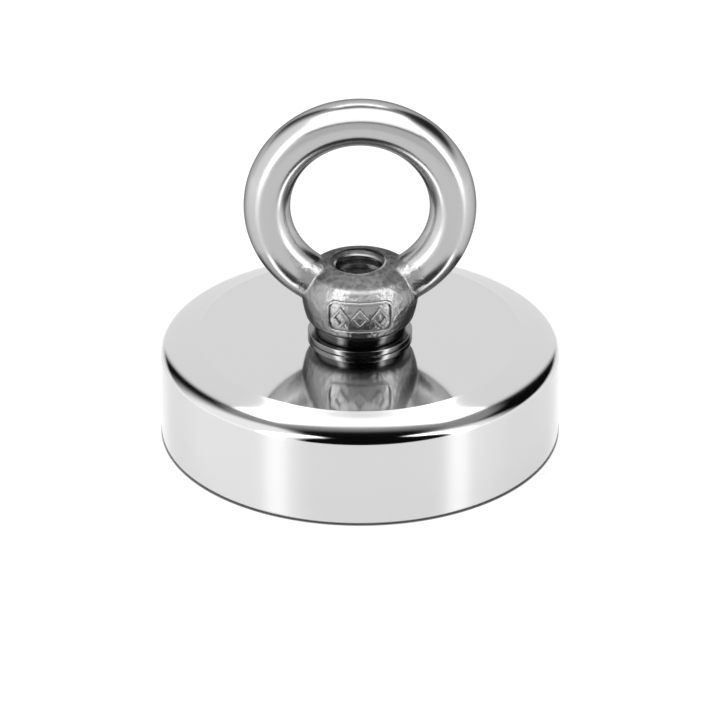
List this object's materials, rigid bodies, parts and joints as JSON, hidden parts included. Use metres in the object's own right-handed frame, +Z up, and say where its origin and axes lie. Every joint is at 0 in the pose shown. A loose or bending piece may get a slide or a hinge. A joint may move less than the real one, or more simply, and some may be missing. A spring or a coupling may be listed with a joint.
{
  "type": "magnet fishing magnet",
  "caption": "Round pot magnet for magnet fishing: a nickel-plated steel cup with a potted ring magnet in its underside and a ring-shaped eye nut screwed onto its top.",
  "frame": {"origin": "centre of the pull face, in the plane of the steel rim that touches the target", "axes": "+Z runs up the screw and through the eye, +X lies in the plane of the ring, and the eye's hole runs along Y"},
  "size_m": [0.042, 0.042, 0.0383],
  "materials": {
    "bright_nickel": "bright nickel plating on mild steel, mirror-polished",
    "magnet_nickel": "barrel-plated nickel on sintered neodymium, satin",
    "epoxy": "cast black epoxy",
    "stainless": "forged stainless steel, polished",
    "zinc_steel": "zinc-plated steel"
  },
  "bodies": {
    "pot_assembly": {"steel_pot": "bright_nickel", "ring_magnet": "magnet_nickel", "potting_resin": "epoxy", "countersunk_screw": "zinc_steel", "flat_washer": "stainless"},
    "lock_washer": {"spring_washer": "stainless"},
    "eye": {"eye_nut": "stainless"}
  },
  "joints": [
    {"name": "eye_turn", "type": "hinge", "parent": "pot_assembly", "child": "lock_washer", "pos_m": [0, 0, 0.0125], "axis": [0, 0, 1], "range_deg": [0, 1170]},
    {"name": "eye_rise", "type": "slide", "parent": "lock_washer", "child": "eye", "axis": [0, 0, 1], "range_m": [0, 0.0033]}
  ],
  "couplings": [
    {"joint": "eye_rise", "follows": "eye_turn", "m_per_rad": 0.00015915}
  ]
}
